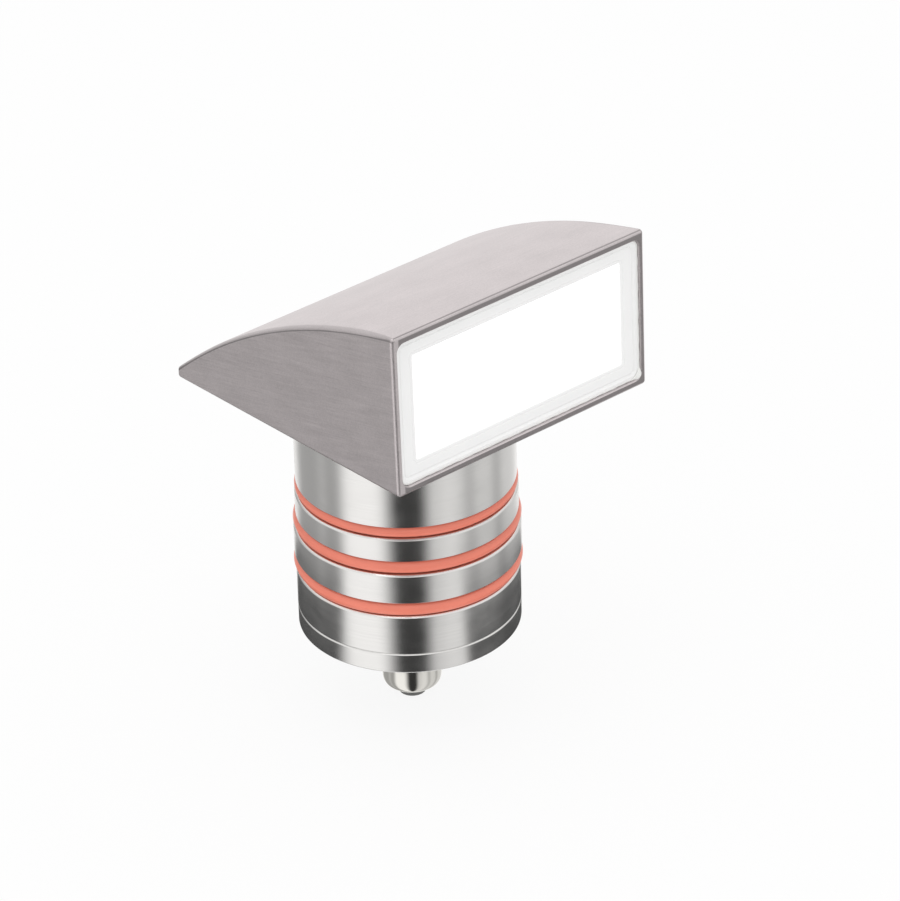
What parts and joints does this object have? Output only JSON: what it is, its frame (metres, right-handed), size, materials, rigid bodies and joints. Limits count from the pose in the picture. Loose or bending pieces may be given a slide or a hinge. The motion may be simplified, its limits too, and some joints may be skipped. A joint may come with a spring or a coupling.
{
  "type": "recessed step light",
  "caption": "Step light with an arched steel hood over a lit window, on a round canister with sealing rings and a cable gland at its end.",
  "frame": {"origin": "on the canister's axis, in the plane of the hood's underside that seats on the wall or step", "axes": "+Z out of the mounting surface along the canister's axis, -Y the way the window faces, X across the hood"},
  "size_m": [0.0706, 0.0725, 0.1167],
  "materials": {
    "hood_steel": "satin, finely blasted",
    "canister_steel": "turned and polished",
    "lens_border": "satin white",
    "window": "opal, lit",
    "white_silicone": "matte",
    "white_plastic": "satin",
    "board_white": "solder mask",
    "emitter": "clear coat over phosphor",
    "screw_steel": "plain",
    "alloy": "milled",
    "thermal_pad": "matte",
    "ring_coral": "matte silicone",
    "black_plastic": "moulded",
    "liner_film": "thin film",
    "board_green": "solder mask",
    "capacitor_sleeve": "shrink sleeve",
    "copper_winding": "enamelled",
    "terminal_green": "moulded",
    "lead_red": "silicone sleeve",
    "nickel": "polished nickel plate",
    "gland_rubber": "matte"
  },
  "bodies": {
    "root": {"hood_shell": "hood_steel", "lens_frame": "lens_border", "lens_seal": "white_silicone", "diffuser_panel": "window", "light_chamber": "white_plastic", "light_board": "board_white", "light_emitters": "emitter", "light_board_screws": "screw_steel", "thermal_pad": "thermal_pad", "heat_spreader": "alloy", "spreader_screws": "screw_steel", "hood_locknut": "canister_steel", "shoulder_seal": "ring_coral", "canister_body": "canister_steel", "o_ring_top": "ring_coral", "o_ring_middle": "ring_coral", "o_ring_bottom": "ring_coral", "driver_cradle": "black_plastic", "cradle_screws": "screw_steel", "insulating_liner": "liner_film", "driver_board": "board_green", "smoothing_capacitors": "capacitor_sleeve", "inductor": "copper_winding", "driver_chips": "black_plastic", "output_plug": "white_plastic", "input_terminal": "terminal_green", "terminal_screws": "screw_steel", "lead_wires": "lead_red"},
    "cap_thread": {"cap_seal": "ring_coral"},
    "cap": {"rear_cap": "canister_steel", "gland_body": "nickel", "gland_washer": "black_plastic", "gland_claw": "black_plastic", "gland_insert": "gland_rubber"},
    "nut_thread": {"gland_slip_ring": "white_plastic"},
    "nut": {"gland_nut": "nickel"}
  },
  "joints": [
    {"name": "cap_travel", "type": "slide", "parent": "root", "child": "cap_thread", "axis": [0, 0, -1], "range_m": [0, 0.006]},
    {"name": "cap_turn", "type": "hinge", "parent": "cap_thread", "child": "cap", "pos_m": [0, 0, -0.0577], "axis": [0, 0, -1], "range_deg": [0, 1440]},
    {"name": "nut_travel", "type": "slide", "parent": "cap", "child": "nut_thread", "axis": [0, 0, -1], "range_m": [0, 0.0045]},
    {"name": "nut_turn", "type": "hinge", "parent": "nut_thread", "child": "nut", "pos_m": [0, 0, -0.0713], "axis": [0, 0, -1], "range_deg": [0, 1080]}
  ],
  "couplings": [
    {"joint": "cap_travel", "follows": "cap_turn", "m_per_rad": 0.00023873},
    {"joint": "nut_travel", "follows": "nut_turn", "m_per_rad": 0.00023873}
  ]
}
